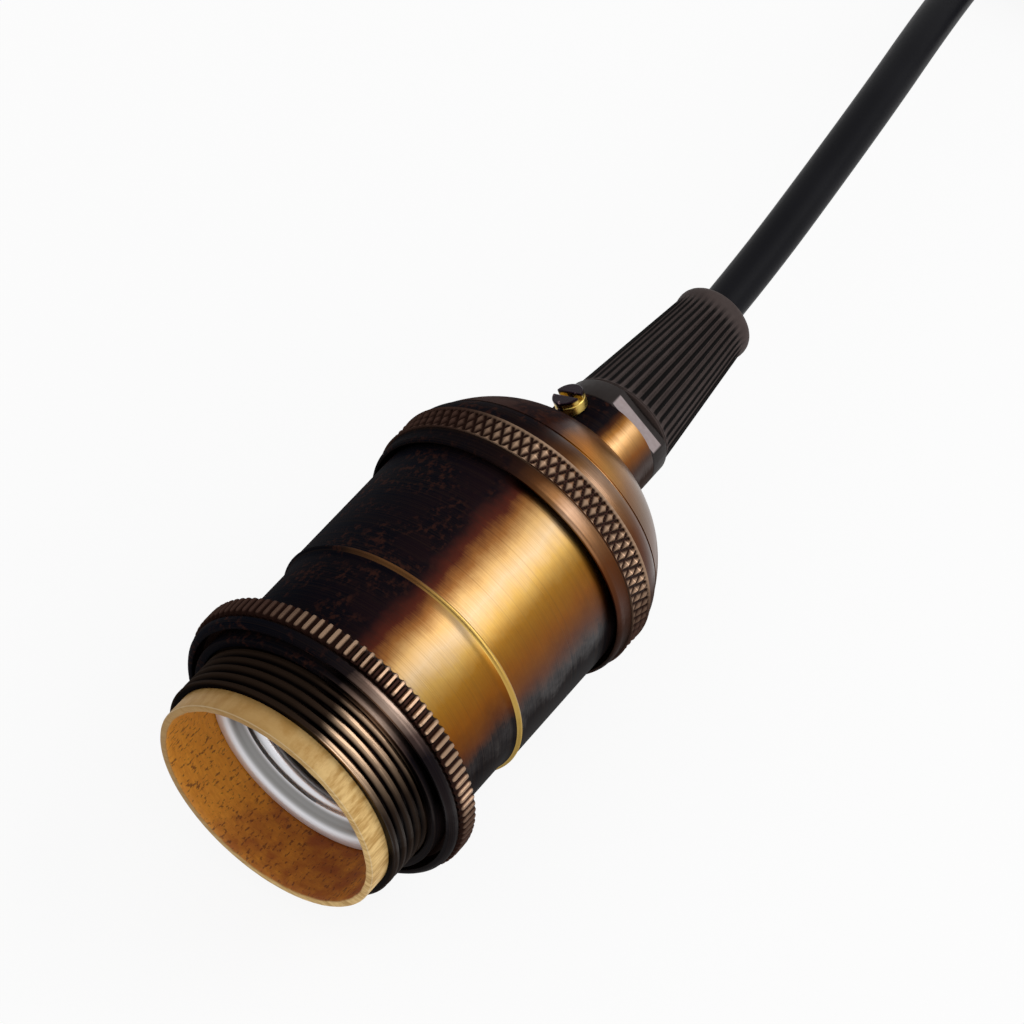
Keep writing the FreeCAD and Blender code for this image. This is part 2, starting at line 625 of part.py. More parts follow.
def main():
    os.makedirs("parts", exist_ok=True)
    for name, shape in pieces().items():
        solids = shape.Solids
        shape = solids[0] if len(solids) == 1 else Part.makeCompound(solids)
        if not shape.isValid() or not solids:
            raise ValueError(f"{name} is not a valid solid")
        shape.exportStep(f"parts/{name}.step")


main()
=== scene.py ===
"""A brass lamp holder with its cord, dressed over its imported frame."""

import math

import bpy
import mathutils
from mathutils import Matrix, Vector


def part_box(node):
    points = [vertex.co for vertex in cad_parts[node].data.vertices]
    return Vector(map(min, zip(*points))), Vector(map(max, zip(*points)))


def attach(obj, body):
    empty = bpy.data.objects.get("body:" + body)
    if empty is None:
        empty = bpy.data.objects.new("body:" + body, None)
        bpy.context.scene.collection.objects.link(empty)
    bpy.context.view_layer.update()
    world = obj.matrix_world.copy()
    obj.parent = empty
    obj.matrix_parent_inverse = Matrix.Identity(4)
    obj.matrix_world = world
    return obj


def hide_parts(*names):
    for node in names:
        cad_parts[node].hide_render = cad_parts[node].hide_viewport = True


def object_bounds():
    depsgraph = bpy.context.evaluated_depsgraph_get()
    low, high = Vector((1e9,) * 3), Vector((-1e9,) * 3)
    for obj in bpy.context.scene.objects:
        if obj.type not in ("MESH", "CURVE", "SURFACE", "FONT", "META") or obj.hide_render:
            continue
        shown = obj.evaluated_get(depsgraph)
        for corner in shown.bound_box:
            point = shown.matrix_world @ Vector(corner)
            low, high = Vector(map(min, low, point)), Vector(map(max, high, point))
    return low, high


bl_info = {
    "name": "Brass lamp holder",
    "version": (1, 0, 0),
    "blender": (4, 5, 0),
    "location": "View3D > Sidebar > Lamp holder",
    "description": "Builds a brass lamp holder: shell, shade ring, cap, cord grip, socket and cord",
    "category": "Add Mesh",
}

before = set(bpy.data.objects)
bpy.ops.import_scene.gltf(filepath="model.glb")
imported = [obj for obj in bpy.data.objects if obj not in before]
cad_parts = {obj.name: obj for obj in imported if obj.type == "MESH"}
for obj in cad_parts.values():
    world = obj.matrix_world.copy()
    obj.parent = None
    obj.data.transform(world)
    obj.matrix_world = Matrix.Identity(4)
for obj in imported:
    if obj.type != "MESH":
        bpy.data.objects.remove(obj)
CAD_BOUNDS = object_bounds()
MM = 0.001

# The side that painted shade and a painted dark reflection lie on, across the lamp axis.
PAINTED_DARK_SIDE = (-0.902, 0.0, 0.432)


# Shader expressions

class Signal:
    """A number, vector or colour in a node tree; arithmetic on it adds Math nodes."""

    def __init__(self, tree, socket):
        self.tree, self.socket = tree, socket

    def math(self, operation, *others):
        inputs = dict(enumerate([self, *others]))
        return self.tree.node("ShaderNodeMath", {"operation": operation}, inputs)

    def __add__(self, other):
        return self.math("ADD", other)

    def __sub__(self, other):
        return self.math("SUBTRACT", other)

    def __rsub__(self, other):
        return self.tree.node("ShaderNodeMath", {"operation": "SUBTRACT"}, {0: other, 1: self})

    def __mul__(self, other):
        return self.math("MULTIPLY", other)

    def __pow__(self, other):
        return self.math("POWER", other)

    __radd__ = __add__
    __rmul__ = __mul__

    def clamp(self):
        return self.tree.node("ShaderNodeClamp", {}, {0: self})

    def step(self, low, high):
        """Smooth step from 0 at low to 1 at high."""
        settings = {"interpolation_type": "SMOOTHSTEP"}
        return self.tree.node("ShaderNodeMapRange", settings, {0: self, 1: low, 2: high})

    def between(self, low, high, blur=0.1):
        """1 from low to high in millimetres, falling to 0 within the blur outside them."""
        return self.step((low - blur) * MM, low * MM) * (1 - self.step(high * MM, (high + blur) * MM))


class Tree:
    """A node tree under construction and the one way to add nodes to it."""

    def __init__(self, tree):
        self.tree = tree

    def node(self, kind, settings, inputs, out=0):
        node = self.tree.nodes.new(kind)
        for key, value in settings.items():
            if key == "stops":
                self.set_stops(node.color_ramp, value)
            else:
                setattr(node, key, value)
        for key, value in inputs.items():
            self.plug(node.inputs[key], value)
        return Signal(self, node.outputs[out])

    def set_stops(self, ramp, stops):
        while len(ramp.elements) < len(stops):
            ramp.elements.new(1.0)
        for element, (place, colour) in zip(ramp.elements, stops):
            element.position = place
            element.color = (*colour, 1.0)

    def plug(self, socket, value):
        if isinstance(value, Signal):
            self.tree.links.new(value.socket, socket)
        elif socket.type == "RGBA":
            socket.default_value = (*value, 1.0)
        else:
            socket.default_value = value

    def seen(self):
        """1 where the eye looks straight at it, in a mirror or through glass."""
        ray = self.node("ShaderNodeLightPath", {}, {})
        camera, glossy, through = (Signal(self, ray.socket.node.outputs[f"Is {kind} Ray"])
                                   for kind in ("Camera", "Glossy", "Transmission"))
        return (camera + glossy + through).clamp()


class Paint(Tree):
    """A material under construction: its tree and its surface shader."""

    def __init__(self, name, **surface):
        self.material = bpy.data.materials.new(name)
        self.material.use_nodes = True
        super().__init__(self.material.node_tree)
        self.shader = self.tree.nodes["Principled BSDF"]
        for socket, value in surface.items():
            self.set(socket.replace("_", " ").title().replace("Ior", "IOR"), value)

    def set(self, name, value):
        self.plug(self.shader.inputs[name], value)

    def place(self):
        return self.node("ShaderNodeTexCoord", {}, {}, out="Object")

    def parts(self, vector):
        """x, y and z of a vector, in metres."""
        split = self.node("ShaderNodeSeparateXYZ", {}, {0: vector})
        outputs = split.socket.node.outputs
        return [Signal(self, outputs[k]) for k in range(3)]

    def cylindrical(self):
        """x, y, z and the distance from the lamp axis, in metres."""
        x, y, z = self.parts(self.place())
        return x, y, z, (x * x + z * z) ** 0.5

    def vector(self, x, y, z):
        return self.node("ShaderNodeCombineXYZ", {}, {0: x, 1: y, 2: z})

    def noise(self, scale, where=None, detail=4.0):
        inputs = {"Scale": scale, "Detail": detail, "Roughness": 0.6,
                  "Vector": where or self.place()}
        return self.node("ShaderNodeTexNoise", {}, inputs)

    def blend(self, share, first, second):
        settings = {"data_type": "RGBA"}
        return self.node("ShaderNodeMix", settings, {0: share, 6: first, 7: second}, out=2)

    def ramp(self, signal, *stops):
        return self.node("ShaderNodeValToRGB", {"stops": stops}, {0: signal})

    def tones(self, signal, stops):
        """Colours spread over -1 to 1."""
        return self.ramp(signal * 0.5 + 0.5, *[((place + 1) / 2, colour) for place, colour in stops])

    def relief(self, tone, y, radius, stretch, depth, groove, tip):
        """Inside a stretch of the axis, colours from the groove's root radius to the tip's."""
        root, crest = (place * MM for place in depth)
        return self.blend(y.between(*stretch), tone, self.blend(radius.step(root, crest), groove, tip))

    def bump(self, height, depth):
        self.set("Normal", self.node("ShaderNodeBump", {}, {"Height": height, "Distance": depth}))

    def around(self):
        """How far a point of the surface faces the side painted dark, from -1 to 1."""
        x, _, z = self.parts(self.place())
        across = self.node("ShaderNodeVectorMath", {"operation": "NORMALIZE"}, {0: self.vector(x, 0.0, z)})
        inputs = {0: across, 1: PAINTED_DARK_SIDE}
        return self.node("ShaderNodeVectorMath", {"operation": "DOT_PRODUCT"}, inputs, out="Value")

    def drawn_lines(self, fineness=1.0):
        """Fine lines round the axis, as turning and brushing leave them."""
        x, y, _, radius = self.cylindrical()
        squeezed = self.vector(x * 12.0, y * 5200.0 * fineness, radius * 5200.0 * fineness)
        return self.noise(1.0, squeezed, detail=3.0)


# Finishes

# Tones round the lamp axis, with light and shade painted into them: -1 faces away from the side
# painted dark, 0 is the painted highlight and 1 is the middle of the painted shade.
SHELL_TONES = ((-1.0, (0.003, 0.003, 0.004)), (-0.83, (0.006, 0.003, 0.004)), (-0.75, (0.10, 0.026, 0.005)),
               (-0.60, (0.225, 0.073, 0.008)), (-0.42, (0.29, 0.130, 0.016)), (-0.29, (0.38, 0.225, 0.058)),
               (-0.14, (0.42, 0.295, 0.165)), (-0.02, (0.44, 0.265, 0.100)), (0.10, (0.24, 0.095, 0.026)),
               (0.19, (0.070, 0.015, 0.009)), (0.32, (0.010, 0.005, 0.007)), (0.84, (0.002, 0.003, 0.006)))
CAP_TONES = ((-1.0, (0.015, 0.010, 0.009)), (-0.80, (0.065, 0.019, 0.008)), (-0.55, (0.105, 0.033, 0.010)),
             (-0.32, (0.170, 0.084, 0.038)), (-0.14, (0.31, 0.190, 0.120)), (0.0, (0.155, 0.072, 0.027)),
             (0.12, (0.070, 0.026, 0.009)), (0.27, (0.020, 0.008, 0.006)), (0.45, (0.007, 0.004, 0.005)),
             (0.95, (0.002, 0.003, 0.005)))
DOME_TONES = ((-1.0, (0.025, 0.012, 0.008)), (-0.80, (0.130, 0.046, 0.016)), (-0.55, (0.145, 0.070, 0.027)),
              (-0.35, (0.21, 0.090, 0.026)), (-0.14, (0.44, 0.200, 0.036)), (0.06, (0.44, 0.150, 0.010)),
              (0.27, (0.035, 0.007, 0.002)), (0.50, (0.028, 0.010, 0.008)), (0.80, (0.060, 0.036, 0.032)))
NECK_TONES = ((-0.9, (0.020, 0.008, 0.005)), (-0.72, (0.040, 0.014, 0.007)), (-0.52, (0.21, 0.070, 0.014)),
              (-0.34, (0.36, 0.185, 0.062)), (-0.17, (0.50, 0.300, 0.135)), (-0.02, (0.24, 0.100, 0.022)),
              (0.10, (0.050, 0.016, 0.006)), (0.19, (0.004, 0.003, 0.005)))
RING_TONES = ((-1.0, (0.006, 0.005, 0.006)), (-0.8, (0.012, 0.009, 0.010)), (-0.50, (0.006, 0.005, 0.007)),
              (-0.36, (0.050, 0.032, 0.028)), (-0.15, (0.36, 0.26, 0.205)), (0.05, (0.13, 0.085, 0.066)),
              (0.17, (0.008, 0.006, 0.007)), (0.8, (0.002, 0.003, 0.006)))


def aged_brass_with_painted_light(name, tones, dome=None, neck=None, bead=None, knurl=None, thread=None):
    """Brass with painted shade on one side and a painted highlight beside it, brushed and stained.

    dome and neck are the tones beyond the cap's groove and beyond its dome, and bead is the stretch
    of the axis where a bead takes a painted highlight. knurl and thread are each a stretch of the axis
    and the radii at its root and crest: there the grooves are darker, and the tips take a painted
    highlight.
    """
    paint = Paint(name, specular_ior_level=0.0)
    _, y, _, radius = paint.cylindrical()
    dark = paint.around()
    blotch = paint.noise(1100.0, detail=6.0)
    cloud = paint.noise(170.0, detail=3.0)
    lines = paint.drawn_lines()
    # drift is how far a point faces the side painted dark, blurred by clouds, blotches and drawn lines; the
    # tones paint light and shade along it.
    drift = dark + (cloud - 0.5) * 0.16 + (blotch - 0.5) * 0.05 + (lines - 0.5) * 0.07
    tone = paint.tones(drift, tones)
    if dome:
        tone = paint.blend(y.step(GROOVE * MM, GROOVE * MM + 0.0004), tone, paint.tones(drift, dome))
    if neck:
        tone = paint.blend(y.step(NECK * MM, NECK * MM + 0.0002), tone, paint.tones(drift, neck))
    # The side painted dark as shade, which stains mottle and which is rougher.
    painted_shade = drift.step(0.20, 0.40)
    stain = paint.blend(blotch.step(0.48, 0.66), (0.002, 0.003, 0.006), (0.040, 0.014, 0.010))
    tone = paint.blend(painted_shade * cloud.step(0.40, 0.58) * 0.7, tone, stain)
    tone = paint.blend(lines.step(0.35, 0.8) * 0.28, tone, (0.040, 0.022, 0.012))
    if bead:
        # Painted highlight along the bead, gold on the lit side of the tones and brown towards the side
        # painted dark.
        bead_highlight = paint.blend(drift.step(-0.1, 0.35), (0.62, 0.40, 0.10), (0.17, 0.075, 0.025))
        tone = paint.blend(y.between(*bead) * (1 - drift.step(0.45, 0.9)) * 0.75, tone, bead_highlight)
    if knurl:
        # Painted highlight on the knurl's tips, fading on the side painted dark and on the far side.
        tip_highlight = (1 - drift.step(0.35, 0.8)) * drift.step(-0.98, -0.75)
        tip = paint.blend(tip_highlight, (0.060, 0.032, 0.024), (0.34, 0.220, 0.145))
        tone = paint.relief(tone, y, radius, *knurl, (0.018, 0.008, 0.006), tip)
    if thread:
        # Painted highlight on the thread's ridges, where the tones are brightest.
        light = (1 - drift.step(-0.10, 0.13)) * drift.step(-0.70, -0.12)
        ridge = paint.blend(light, (0.020, 0.012, 0.008), (0.40, 0.27, 0.175))
        tone = paint.relief(tone, y, radius, *thread, (0.003, 0.002, 0.002), ridge)
    paint.set("Base Color", tone)
    # Where painted dark, on the shaded side and the far side, the metal is taken away so that no reflection
    # lightens it.
    paint.set("Metallic", 1 - drift.step(0.20, 0.38) * 0.95 - (1 - drift.step(-0.92, -0.78)) * 0.9)
    paint.set("Roughness", lines * 0.14 + 0.23 + painted_shade * 0.12)
    paint.bump(lines, 0.000012)
    return paint.material


def bright_brass():
    paint = Paint("terminal brass", metallic=1.0)
    smudge = paint.noise(700.0)
    paint.set("Base Color", paint.blend(smudge.step(0.35, 0.7), (0.432, 0.30, 0.102), (0.72, 0.50, 0.17)))
    paint.set("Roughness", smudge * 0.2 + 0.16)
    paint.bump(paint.noise(2600.0), 0.00002)
    return paint.material


def pressed_aluminium():
    """Painted highlights on the turns that stand inwards and on the lip, painted shade in between and deep
    down.
    """
    paint = Paint("pressed aluminium", metallic=1.0)
    _, y, _, radius = paint.cylindrical()
    lines = paint.drawn_lines(0.4)
    bright = paint.blend(lines, (0.60, 0.60, 0.63), (0.82, 0.82, 0.85))
    shaded = paint.blend(lines, (0.16, 0.155, 0.15), (0.30, 0.295, 0.29))
    # Painted shade in the valleys between the turns and deeper down.
    valley = radius.step(0.0126, 0.0133) * (1 - radius.step(0.0140, 0.0146))
    deep = y.step(0.0175, 0.0235)
    paint.set("Base Color", paint.blend((valley + deep * 0.7).clamp(), bright, shaded))
    paint.set("Roughness", lines * 0.14 + 0.26)
    paint.bump(lines, 0.00001)
    return paint.material


def zinc_steel():
    paint = Paint("zinc plated steel", metallic=1.0)
    grain = paint.noise(1500.0)
    paint.set("Base Color", paint.blend(grain, (0.42, 0.43, 0.45), (0.62, 0.62, 0.63)))
    paint.set("Roughness", grain * 0.2 + 0.3)
    paint.bump(grain, 0.00001)
    return paint.material


def varnished_card():
    """Rolled card: yellow tan and grained outside, paler at its cut edge, mottled orange brown inside."""
    paint = Paint("varnished card")
    x, y, z, radius = paint.cylindrical()
    mouth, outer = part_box("liner")[0].y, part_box("liner")[1].z
    outside = radius.step(outer - 0.00015, outer - 0.00005)
    edge = (y * -1.0).step(-mouth - 0.00022, -mouth - 0.00002)
    fibre = paint.noise(1.0, paint.vector(x * 900.0, y * 2400.0, z * 900.0), detail=6.0)
    patch = paint.noise(230.0, detail=5.0)
    # drift mottles the inside by patches and darkens it towards +x and -z as painted shade.
    drift = patch * 0.8 + x * 10.0 - z * 16.0
    speck = paint.noise(1.0, paint.vector(x * 2600.0, y * 1100.0, z * 2600.0), detail=4.0).step(0.56, 0.64)
    inside = paint.blend(fibre, (0.56, 0.170, 0.011), (0.95, 0.42, 0.040))
    inside = paint.blend(drift.step(0.40, 0.80) * 0.85, inside, (0.27, 0.050, 0.010))
    inside = paint.blend(speck * 0.75, inside, (0.085, 0.022, 0.006))
    grain = paint.noise(1.0, paint.vector(x * 260.0, y * 260.0, z * 1500.0), detail=5.0)
    dark = paint.around()
    pale = paint.blend(grain.step(0.32, 0.66), (0.46, 0.25, 0.055), (0.80, 0.54, 0.21))
    # Painted shade: the outside darkens towards the side painted dark.
    pale = paint.blend((dark + grain * 0.6).step(-0.1, 0.9) * 0.75, pale, (0.33, 0.165, 0.032))
    pale = paint.blend(paint.noise(1900.0).step(0.62, 0.72) * 0.5, pale, (0.42, 0.22, 0.07))
    inner_line = (1 - radius.step(outer - 0.00105, outer - 0.00075)) * patch.step(0.35, 0.6)
    pale = paint.blend(inner_line * 0.55, pale, (0.36, 0.17, 0.04))
    pale = paint.blend(outside * edge * 0.7, pale, (0.84, 0.72, 0.50))
    paint.set("Base Color", paint.blend((outside + edge).clamp(), inside, pale))
    paint.set("Roughness", fibre * 0.2 + 0.5)
    paint.bump(fibre, 0.00006)
    return paint.material


def glazed_porcelain():
    paint = Paint("glazed porcelain", coat_weight=0.6, coat_roughness=0.08)
    cloud = paint.noise(180.0)
    paint.set("Base Color", paint.blend(cloud, (0.76, 0.73, 0.67), (0.88, 0.86, 0.81)))
    paint.set("Roughness", cloud * 0.1 + 0.25)
    paint.bump(paint.noise(900.0), 0.00002)
    return paint.material


def moulded_plastic(name, colour):
    paint = Paint(name, specular_ior_level=0.25)
    grain = paint.noise(3200.0, detail=2.0)
    dust = paint.noise(420.0, detail=5.0)
    paint.set("Base Color", paint.blend(dust.step(0.4, 0.8), colour, [c * 1.5 + 0.01 for c in colour]))
    paint.set("Roughness", grain * 0.14 + 0.5)
    paint.bump(grain, 0.00001)
    return paint.material


def collar_plastic(colour):
    """The grip's plastic, with a painted highlight on the flats for a wrench."""
    paint = Paint("collar plastic", specular_ior_level=0.15)
    x, y, z, radius = paint.cylindrical()
    turn = math.radians(FLATS_TURN)
    towards = x * math.sin(turn) + z * math.cos(turn)
    beside = radius - towards
    on_face = 1 - towards.step(FLAT_R * MM, (FLAT_R + 0.08) * MM)
    on_side = 1 - beside.step(FLAT_SPREAD * MM, (FLAT_SPREAD + 0.2) * MM)
    flat = y.between(FLATS_START, FLATS_END) * on_face * on_side
    grain = paint.noise(1300.0, detail=5.0)
    # Grained pale grey on the flats: a painted highlight where the flats face the light.
    pale = paint.blend(grain, (0.26, 0.20, 0.20), (0.42, 0.36, 0.36))
    paint.set("Base Color", paint.blend(flat, colour, pale))
    paint.set("Roughness", grain * 0.2 + 0.45)
    paint.bump(grain, 0.00002)
    return paint.material


def ribbed_plastic(colour, ribs):
    """Moulded plastic with painted shade in the grooves and a painted highlight on the ribs."""
    paint = Paint("grip plastic", specular_ior_level=0.04)
    x, y, z = paint.parts(paint.place())
    turn = paint.node("ShaderNodeMath", {"operation": "ARCTAN2"}, {0: x, 1: z})
    groove = paint.node("ShaderNodeMath", {"operation": "COSINE"}, {0: turn * float(ribs)}) * 0.5 + 0.5
    dust = paint.noise(520.0, detail=5.0)
    # Painted highlight on the ribs, mottled by dust.
    rib_highlight = paint.blend(dust, [c * 2.2 for c in colour], [c * 4.2 + 0.004 for c in colour])
    past_start = y.step(RIBS_START * MM, (RIBS_START + 0.6) * MM)
    ribbed = past_start * (1 - y.step(RIBS_END * MM, (RIBS_END + 2.2) * MM))
    # Painted shade fills the grooves between the ribs.
    share = (1 - groove).step(0.30, 0.72) * ribbed
    paint.set("Base Color", paint.blend(share, rib_highlight, (0.0025, 0.002, 0.002)))
    paint.set("Roughness", dust * 0.14 + 0.5)
    paint.bump(dust, 0.00001)
    return paint.material


def screw_brass(way, top):
    """Brass of the set screw, with a painted dark reflection on its slotted face and painted shade in the
    slot.
    """
    paint = Paint("set screw brass", metallic=1.0)
    x, _, z = paint.parts(paint.place())
    height = x * way.x + z * way.z
    beside = (x * way.z - z * way.x).math("ABSOLUTE")
    face = height.step(top * MM - 0.0005, top * MM - 0.0002)
    slot = height.step(top * MM - 0.0014, top * MM - 0.0012) * (1 - beside.step(0.00042, 0.00048))
    smudge = paint.noise(900.0)
    brass = paint.blend(smudge, (0.36, 0.22, 0.035), (0.78, 0.58, 0.17))
    # Painted dark reflection on the face and painted shade in the slot, mottled.
    dark = paint.blend(smudge.step(0.55, 0.65), (0.012, 0.006, 0.010), (0.16, 0.10, 0.11))
    paint.set("Base Color", paint.blend((face + slot).clamp(), brass, dark))
    paint.set("Roughness", smudge * 0.2 + 0.18)
    paint.bump(smudge, 0.00002)
    return paint.material


def cord_sheath(name, colour):
    paint = Paint(name, specular_ior_level=0.05)
    sheen = paint.noise(60.0, detail=2.0)
    grain = paint.noise(1800.0, detail=4.0)
    paint.set("Base Color", paint.blend(sheen, colour, [c * 1.35 + 0.004 for c in colour]))
    paint.set("Roughness", grain * 0.12 + 0.36)
    paint.bump(grain, 0.000012)
    return paint.material


def bare_copper():
    paint = Paint("bare copper", metallic=1.0)
    strand = paint.noise(1.0, paint.vector(*[part * 3000.0 for part in paint.parts(paint.place())]))
    paint.set("Base Color", paint.blend(strand, (0.55, 0.22, 0.10), (0.85, 0.42, 0.24)))
    paint.set("Roughness", strand * 0.2 + 0.25)
    paint.bump(strand, 0.00004)
    return paint.material


# Shapes

def mesh_piece(name, points, faces, material, angle=32.0):
    mesh = bpy.data.meshes.new(name)
    mesh.from_pydata(points, [], faces)
    mesh.shade_smooth()
    mesh.set_sharp_from_angle(angle=math.radians(angle))
    piece = bpy.data.objects.new(name, mesh)
    bpy.context.scene.collection.objects.link(piece)
    mesh.materials.append(material)
    return piece


def lathe(name, outline, segments, material, relief=None, angle=32.0):
    """Turn a closed outline about the lamp axis.

    An outline point is (radius, y) or (radius, y, share) in millimetres; relief(turn, y) is taken
    off the radius by that share, with turn the angle from +Z towards +X.
    """
    points, faces = [], []
    count = len(outline)
    for k in range(segments):
        turn = 2 * math.pi * k / segments
        sine, cosine = math.sin(turn), math.cos(turn)
        for radius, y, *share in outline:
            if share:
                radius -= share[0] * relief(turn, y)
            points.append((radius * sine * MM, y * MM, radius * cosine * MM))
    for k in range(segments):
        here, there = k * count, (k + 1) % segments * count
        for j in range(count):
            following = (j + 1) % count
            faces.append((here + j, here + following, there + following, there + j))
    return mesh_piece(name, points, faces, material, angle)


def softened(outline, radius=0.18):
    """The outline with each corner rounded by three points, less where its sides are short."""
    result = []
    for k, point in enumerate(outline):
        here = Vector(point[:2])
        into = here - Vector(outline[k - 1][:2])
        out = Vector(outline[(k + 1) % len(outline)][:2]) - here
        if into.length < 1e-6 or out.length < 1e-6 or into.angle(out) < math.radians(20):
            result.append(point)
            continue
        reach = min(radius, 0.4 * into.length, 0.4 * out.length)
        start, end = here - into.normalized() * reach, here + out.normalized() * reach
        middle = (start + end) / 4 + here / 2
        result += [(corner.x, corner.y, *point[2:]) for corner in (start, middle, end)]
    return result


def run(start, end, count, share=None):
    """Points from start to end, both left out unless share is given to all of them."""
    tail = () if share is None else (share,)
    steps = range(count + 1) if share is not None else range(1, count)
    return [(start[0] + (end[0] - start[0]) * k / count,
             start[1] + (end[1] - start[1]) * k / count, *tail) for k in steps]


def bowed(start, end, rise, count):
    """Points on an arc from start to end that stands off its chord by rise."""
    chord = Vector(end) - Vector(start)
    normal = Vector((chord.y, -chord.x)).normalized()
    return [tuple(Vector(start) + chord * (k / count) + normal * (rise * 4 * (k / count) * (1 - k / count)))
            for k in range(1, count)]


def wave(phase):
    """0 at whole numbers, 1 half way between."""
    return 0.5 - 0.5 * math.cos(2 * math.pi * phase)


def tent(phase):
    """Distance to the nearest whole number, doubled."""
    return 2 * abs(phase - round(phase))


def finish_piece(piece, body, *nodes, slot=None):
    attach(piece, body)
    if nodes:
        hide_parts(*nodes)
    return piece


def dress_node(name, material, soften=0.0):
    """Give a frame node its finish and, where its edges show, a small bevel."""
    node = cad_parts[name]
    node.data.materials.clear()
    node.data.materials.append(material)
    if soften:
        weld = node.modifiers.new("joined faces", "WELD")
        weld.merge_threshold = 0.00001
        bevel = node.modifiers.new("broken edges", "BEVEL")
        bevel.width, bevel.segments = soften * MM, 2
        bevel.limit_method, bevel.angle_limit = "ANGLE", math.radians(35)
        bevel.harden_normals = True


# Sizes and colours that a user would change

class HolderSizes(bpy.types.PropertyGroup):
    """Sizes of the turned and threaded details, in millimetres where they are lengths."""

    thread_depth: bpy.props.FloatProperty(name="Thread depth", default=0.62, min=0.1, max=1.0,
                                          description="Depth of the outside thread for the shade ring")
    thread_lead: bpy.props.FloatProperty(name="Thread lead", default=1.5, min=0.5, max=2.0,
                                         description="Advance of the outside thread in one turn")
    ring_ribs: bpy.props.IntProperty(name="Ring ribs", default=105, min=60, max=200,
                                     description="Straight ribs round the shade ring")
    rib_depth: bpy.props.FloatProperty(name="Rib depth", default=0.42, min=0.1, max=0.8,
                                       description="Depth of the grooves between the ring's ribs")
    diamonds: bpy.props.IntProperty(name="Diamonds", default=86, min=40, max=140,
                                    description="Diamonds of the knurl once round the cap")
    diamond_rows: bpy.props.FloatProperty(name="Diamond rows", default=1.35, min=1.0, max=6.0,
                                          description="Diamonds of the knurl across its band")
    diamond_depth: bpy.props.FloatProperty(name="Diamond depth", default=0.5, min=0.1, max=0.8,
                                           description="Depth of the knurl on the cap")
    lamp_lead: bpy.props.FloatProperty(name="Lamp thread lead", default=3.63, min=2.0, max=5.0,
                                       description="Advance of the screw shell's thread in one turn")
    grip_ribs: bpy.props.IntProperty(name="Grip ribs", default=36, min=12, max=60,
                                     description="Ribs round the nut of the cord grip")
    cord_diameter: bpy.props.FloatProperty(name="Cord diameter", default=0.006, min=0.003, max=0.01,
                                           subtype="DISTANCE", unit="LENGTH",
                                           description="Diameter of the cord's sheath")
    cord_length: bpy.props.FloatProperty(name="Cord length", default=0.99, min=0.5, max=3.0,
                                         subtype="DISTANCE", unit="LENGTH",
                                         description="Whole length of the cord's sheath")


class HolderColours(bpy.types.PropertyGroup):
    """Colours of the finishes."""

    plastic: bpy.props.FloatVectorProperty(name="Grip", size=3, subtype="COLOR",
                                           default=(0.020, 0.015, 0.014),
                                           description="Moulded plastic of the cord grip")
    cord: bpy.props.FloatVectorProperty(name="Cord", size=3, subtype="COLOR",
                                        default=(0.003, 0.003, 0.0045),
                                        description="Sheath of the cord")


def sizes():
    return bpy.context.scene.holder_sizes


def colours():
    return bpy.context.scene.holder_colours


# Heights along the lamp axis, in millimetres, that several pieces share.
BRASS_END = 3.3
SHOULDER = 14.9
BEAD = 27.3
BEAD_END = 29.2
CAP_LIP = 49.3
BAND = 51.8
SHELL_TOP = 55.0
BAND_END = 55.7
GROOVE = 58.8
NECK = 68.8
NECK_END = 75.0
FLATS_START = 75.4
FLATS_END = 77.1
RIBS_START = 78.5
RIBS_END = 99.0

# Radii and other lengths across the axis, in millimetres. The flats lie FLAT_R from the axis, and
# FLAT_SPREAD is how far the collar's round side falls behind them at their edges.
THREAD_R = 18.0
LOWER_R = 18.63
UPPER_R = 19.2
NECK_R = 8.2
FLAT_R = 6.9
FLAT_SPREAD = 1.2
SET_SEAT_R = 8.3
SET_HEAD_R = 2.2
SET_HEAD_HEIGHT = 2.4

# Turns about the axis from +Z towards +X, in degrees.
FLATS_TURN = 40.0
SET_SCREW_TURN = -22.4


class LAMPHOLDER_OT_shell(bpy.types.Operator):
    """Drawn brass shell with its helical thread and bead"""

    bl_idname = "lampholder.shell"
    bl_label = "Shell"

    def execute(self, context):
        size = sizes()
        run_in, run_out = 0.5, 0.9

        def thread(turn, y):
            fade = min(1.0, (y - BRASS_END) / run_in, (SHOULDER - y) / run_out)
            crest = tent(y / size.thread_lead - turn / (2 * math.pi)) ** 0.8
            return size.thread_depth * max(0.0, fade) * (1 - min(1.0, 1.35 * crest))

        threads = run((THREAD_R, BRASS_END + 0.05), (THREAD_R, SHOULDER - 0.05), 110, share=1.0)
        bore, wall = 17.1, 0.8
        outline = [(bore, BRASS_END), (THREAD_R - 0.35, BRASS_END)] + threads + softened([
            (THREAD_R, SHOULDER), (LOWER_R, SHOULDER), (LOWER_R, BEAD), (LOWER_R + 0.08, BEAD + 0.6),
            (UPPER_R - 0.25, BEAD_END - 0.75), (UPPER_R - 0.05, BEAD_END - 0.62),
            (UPPER_R + 0.14, BEAD_END - 0.5), (UPPER_R + 0.14, BEAD_END - 0.3), (UPPER_R, BEAD_END - 0.12),
            (UPPER_R, SHELL_TOP), (UPPER_R - wall, SHELL_TOP), (UPPER_R - wall, BEAD_END),
            (LOWER_R - wall, BEAD), (LOWER_R - wall, SHOULDER + wall), (bore, SHOULDER + wall)], 0.15)
        finish = aged_brass_with_painted_light("shell brass", SHELL_TONES, bead=(BEAD_END - 0.8, BEAD_END - 0.2),
                            thread=((BRASS_END, SHOULDER), (17.55, 17.97)))
        shell = lathe("shell_brass", outline, 360, finish, thread)
        finish_piece(shell, "shell_body", "shell", slot="antique_brass")
        return {"FINISHED"}


